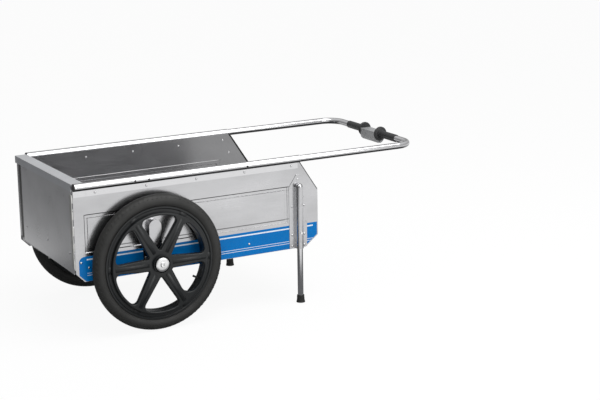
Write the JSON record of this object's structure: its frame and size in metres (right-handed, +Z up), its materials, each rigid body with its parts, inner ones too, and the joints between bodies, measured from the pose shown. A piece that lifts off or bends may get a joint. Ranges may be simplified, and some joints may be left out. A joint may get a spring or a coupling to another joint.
{
  "type": "folding pull wagon",
  "caption": "Two-wheeled folding aluminium wagon with riveted side panels, hinged floor, tail gate, front legs and a telescoping pull handle.",
  "frame": {"origin": "centre of the open wagon's box in plan, on the ground", "axes": "+X to the pull handle, +Y to the left side, +Z up"},
  "size_m": [1.4546, 0.7484, 0.5925],
  "materials": {
    "sheet": "mill finish sheet, lightly brushed lengthwise",
    "tube": "bright drawn tube",
    "rivet": "domed rivet heads",
    "steel": "zinc plated",
    "plated_steel": "bright plated",
    "black_plastic": "moulded, satin",
    "grey_plastic": "moulded, matte",
    "tyre": "block tread",
    "rubber": "moulded",
    "grip": "soft moulded grip"
  },
  "bodies": {
    "right_side": {"right_side_panel": "sheet", "right_rail": "tube", "right_rail_plug": "black_plastic", "right_rail_rivets": "rivet", "right_leg_bracket": "sheet", "right_axle_bracket": "sheet", "right_bracket_rivets": "rivet", "right_axle": "steel", "right_axle_cap": "plated_steel", "right_hinge_side_leaf": "steel", "gate_hinge_fixed_leaf": "steel"},
    "right_floor_half": {"right_floor": "sheet", "right_hinge_floor_leaf": "steel", "right_hinge_pin": "steel", "centre_hinge_right_leaf": "steel"},
    "right_wheel_set": {"right_wheel": "black_plastic", "right_tyre": "tyre", "right_inner_tube": "rubber", "right_bearings": "steel"},
    "right_leg_set": {"right_leg": "tube", "right_foot": "rubber"},
    "right_button": {"right_leg_button": "plated_steel"},
    "right_guide": {"right_handle_guide": "black_plastic"},
    "right_handle": {"right_handle_tube": "tube", "right_grip": "grip", "right_disc": "grip", "coupler_tongue": "steel"},
    "left_side": {"left_side_panel": "sheet", "left_rail": "tube", "left_rail_plug": "black_plastic", "left_rail_rivets": "rivet", "left_leg_bracket": "sheet", "left_axle_bracket": "sheet", "left_bracket_rivets": "rivet", "left_axle": "steel", "left_axle_cap": "plated_steel", "left_hinge_side_leaf": "steel"},
    "left_floor_half": {"left_floor": "sheet", "left_hinge_floor_leaf": "steel", "left_hinge_pin": "steel", "centre_hinge_left_leaf": "steel", "centre_hinge_pin": "steel"},
    "left_wheel_set": {"left_wheel": "black_plastic", "left_tyre": "tyre", "left_inner_tube": "rubber", "left_bearings": "steel"},
    "left_leg_set": {"left_leg": "tube", "left_foot": "rubber"},
    "left_button": {"left_leg_button": "plated_steel"},
    "left_guide": {"left_handle_guide": "black_plastic"},
    "left_handle": {"left_handle_tube": "tube", "left_grip": "grip", "left_disc": "grip", "coupler_block": "grey_plastic"},
    "gate": {"tail_gate": "sheet", "gate_cap": "sheet", "gate_seal": "rubber", "gate_rivets": "rivet", "gate_hinge_leaf": "steel", "gate_hinge_pin": "steel"}
  },
  "joints": [
    {"name": "fold", "type": "hinge", "parent": "right_side", "child": "right_floor_half", "pos_m": [-0.21915, -0.2833, 0.26], "axis": [1, 0, 0], "range_deg": [0, 85]},
    {"name": "centre_hinge", "type": "hinge", "parent": "right_floor_half", "child": "left_floor_half", "pos_m": [-0.21915, 0, 0.238], "axis": [1, 0, 0], "range_deg": [-170, 0]},
    {"name": "left_floor_hinge", "type": "hinge", "parent": "left_floor_half", "child": "left_side", "pos_m": [-0.21915, 0.2833, 0.26], "axis": [1, 0, 0], "range_deg": [0, 85]},
    {"name": "gate_hinge", "type": "hinge", "parent": "right_side", "child": "gate", "pos_m": [-0.72415, -0.2855, 0.41], "axis": [0, 0, 1], "range_deg": [0, 100]},
    {"name": "right_wheel_spin", "type": "hinge", "parent": "right_side", "child": "right_wheel_set", "pos_m": [-0.41615, -0.324, 0.254], "axis": [0, 1, 0], "continuous": true},
    {"name": "right_leg_slide", "type": "slide", "parent": "right_side", "child": "right_leg_set", "axis": [0, 0, 1], "range_m": [0, 0.07]},
    {"name": "right_button_press", "type": "slide", "parent": "right_side", "child": "right_button", "axis": [0, 1, 0], "range_m": [0, 0.0024], "stiffness_N_per_m": 800, "springref_m": -0.002},
    {"name": "right_handle_slide", "type": "slide", "parent": "right_side", "child": "right_guide", "axis": [-1, 0, 0], "range_m": [0, 0.39]},
    {"name": "right_handle_twist", "type": "hinge", "parent": "right_guide", "child": "right_handle", "pos_m": [0.28085, -0.3043, 0.564], "axis": [1, 0, 0], "range_deg": [-90.01, 0]},
    {"name": "left_wheel_spin", "type": "hinge", "parent": "left_side", "child": "left_wheel_set", "pos_m": [-0.41615, 0.324, 0.254], "axis": [0, 1, 0], "continuous": true},
    {"name": "left_leg_slide", "type": "slide", "parent": "left_side", "child": "left_leg_set", "axis": [0, 0, 1], "range_m": [0, 0.07]},
    {"name": "left_button_press", "type": "slide", "parent": "left_side", "child": "left_button", "axis": [0, -1, 0], "range_m": [0, 0.0024], "stiffness_N_per_m": 800, "springref_m": -0.002},
    {"name": "left_handle_slide", "type": "slide", "parent": "left_side", "child": "left_guide", "axis": [-1, 0, 0], "range_m": [0, 0.39]},
    {"name": "left_handle_twist", "type": "hinge", "parent": "left_guide", "child": "left_handle", "pos_m": [0.28085, 0.3043, 0.564], "axis": [1, 0, 0], "range_deg": [0, 90.01]}
  ],
  "couplings": [
    {"joint": "centre_hinge", "follows": "fold", "ratio": -2},
    {"joint": "left_floor_hinge", "follows": "fold", "ratio": 1},
    {"joint": "right_handle_twist", "follows": "fold", "ratio": -1.0588},
    {"joint": "left_handle_twist", "follows": "fold", "ratio": 1.0588},
    {"joint": "left_handle_slide", "follows": "right_handle_slide", "ratio": 1}
  ]
}
